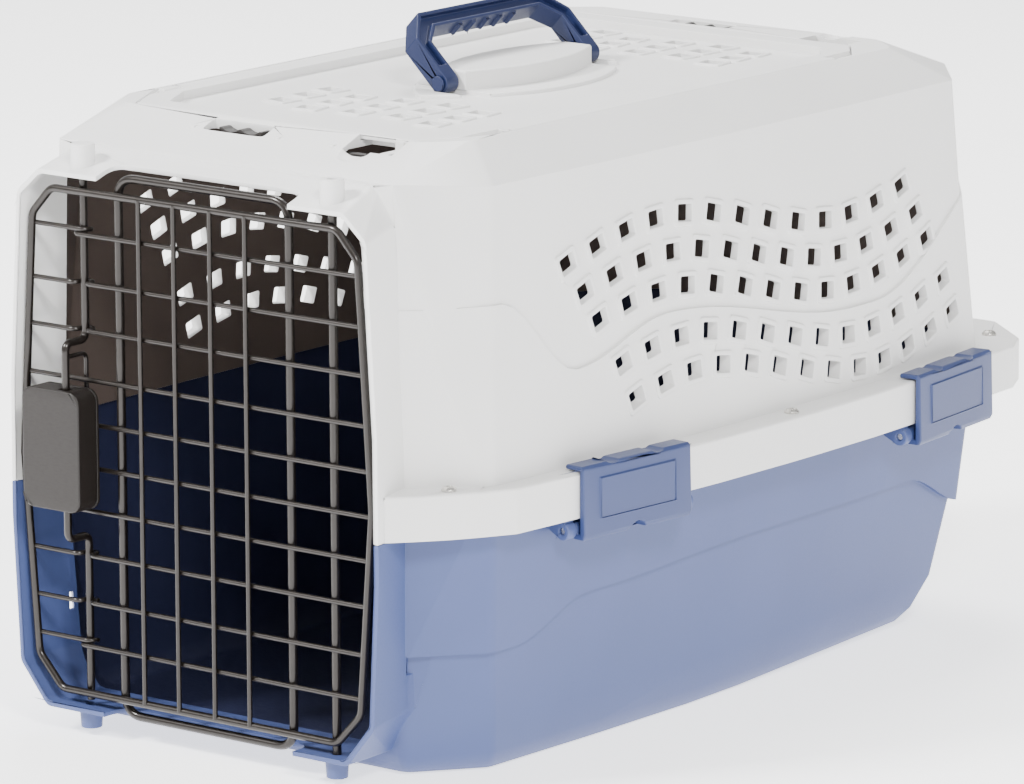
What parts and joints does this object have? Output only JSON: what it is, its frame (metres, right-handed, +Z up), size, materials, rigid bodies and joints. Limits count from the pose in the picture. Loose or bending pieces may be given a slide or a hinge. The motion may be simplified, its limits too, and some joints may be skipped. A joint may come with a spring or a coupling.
{
  "type": "pet transport carrier",
  "caption": "Hard-sided pet carrier of two clipped plastic shells with a swinging wire front door, a squeeze latch, a lifting vented top door and a folding carry handle.",
  "frame": {"origin": "on the ground under the middle of the shells, at the centre of the flat base", "axes": "+Z up, +Y towards the closed rear end, the front door faces -Y, +X is on the right when looking along +Y at the front door"},
  "size_m": [0.3724, 0.599, 0.3775],
  "materials": {
    "shell_white": "finely grained moulded polypropylene",
    "shell_blue": "finely grained moulded polypropylene",
    "clip_blue": "satin moulded polypropylene",
    "handle_blue": "satin moulded polypropylene",
    "wire_bronze": "dark bronze powder coat",
    "latch_brown": "satin moulded plastic",
    "steel": "bright plated steel"
  },
  "bodies": {
    "shell": {"bottom_shell": "shell_blue", "top_shell": "shell_white", "shell_screws": "steel", "shell_nuts": "steel", "clip_pins": "steel", "top_door_hinge_rod": "wire_bronze"},
    "front_door": {"door_frame_wire": "wire_bronze", "door_cross_wires": "wire_bronze", "door_upright_wires": "wire_bronze", "door_stiffener_loop": "wire_bronze", "door_hinge_rod": "wire_bronze", "latch_housing": "latch_brown", "latch_back_plate": "latch_brown", "latch_spring": "steel"},
    "latch_upper": {"latch_upper_rod": "wire_bronze"},
    "latch_lower": {"latch_lower_rod": "wire_bronze"},
    "top_door": {"top_door": "shell_white", "handle_pins": "handle_blue"},
    "handle": {"handle": "handle_blue"},
    "top_latch_front": {"top_latch_front": "latch_brown"},
    "top_latch_rear": {"top_latch_rear": "latch_brown"},
    "clip_front_right": {"clip_front_right": "clip_blue"},
    "clip_rear_right": {"clip_rear_right": "clip_blue"},
    "clip_front_left": {"clip_front_left": "clip_blue"},
    "clip_rear_left": {"clip_rear_left": "clip_blue"}
  },
  "joints": [
    {"name": "front_door_swing", "type": "hinge", "parent": "shell", "child": "front_door", "pos_m": [0.092, -0.267, 0.15], "axis": [0, 0, 1], "range_deg": [0, 110]},
    {"name": "latch_upper_squeeze", "type": "slide", "parent": "front_door", "child": "latch_upper", "axis": [0, 0, -1], "range_m": [0, 0.01], "stiffness_N_per_m": 300, "springref_m": -0.006, "deforming": ["latch_spring"]},
    {"name": "latch_lower_squeeze", "type": "slide", "parent": "front_door", "child": "latch_lower", "axis": [0, 0, 1], "range_m": [0, 0.01]},
    {"name": "top_door_swing", "type": "hinge", "parent": "shell", "child": "top_door", "pos_m": [-0.117, 0, 0.338], "axis": [0, -1, 0], "range_deg": [0, 100]},
    {"name": "handle_swing", "type": "hinge", "parent": "top_door", "child": "handle", "pos_m": [0, 0.005, 0.3426], "axis": [0, 1, 0], "range_deg": [-30, 122]},
    {"name": "top_latch_front_slide", "type": "slide", "parent": "shell", "child": "top_latch_front", "axis": [-1, 0, 0], "range_m": [0, 0.01], "stiffness_N_per_m": 120, "springref_m": -0.004},
    {"name": "top_latch_rear_slide", "type": "slide", "parent": "shell", "child": "top_latch_rear", "axis": [-1, 0, 0], "range_m": [0, 0.01], "stiffness_N_per_m": 120, "springref_m": -0.004},
    {"name": "clip_front_right_swing", "type": "hinge", "parent": "shell", "child": "clip_front_right", "pos_m": [0.1726, -0.11957, 0.1315], "axis": [0.0814, 0.9967, 0], "range_deg": [0, 120]},
    {"name": "clip_rear_right_swing", "type": "hinge", "parent": "shell", "child": "clip_rear_right", "pos_m": [0.16929, 0.18137, 0.1315], "axis": [-0.1143, 0.9935, 0], "range_deg": [0, 120]},
    {"name": "clip_front_left_swing", "type": "hinge", "parent": "shell", "child": "clip_front_left", "pos_m": [-0.1726, -0.11957, 0.1315], "axis": [0.0814, -0.9967, 0], "range_deg": [0, 120]},
    {"name": "clip_rear_left_swing", "type": "hinge", "parent": "shell", "child": "clip_rear_left", "pos_m": [-0.16929, 0.18137, 0.1315], "axis": [-0.1143, -0.9935, 0], "range_deg": [0, 120]}
  ],
  "couplings": [
    {"joint": "latch_lower_squeeze", "follows": "latch_upper_squeeze", "ratio": 1}
  ]
}
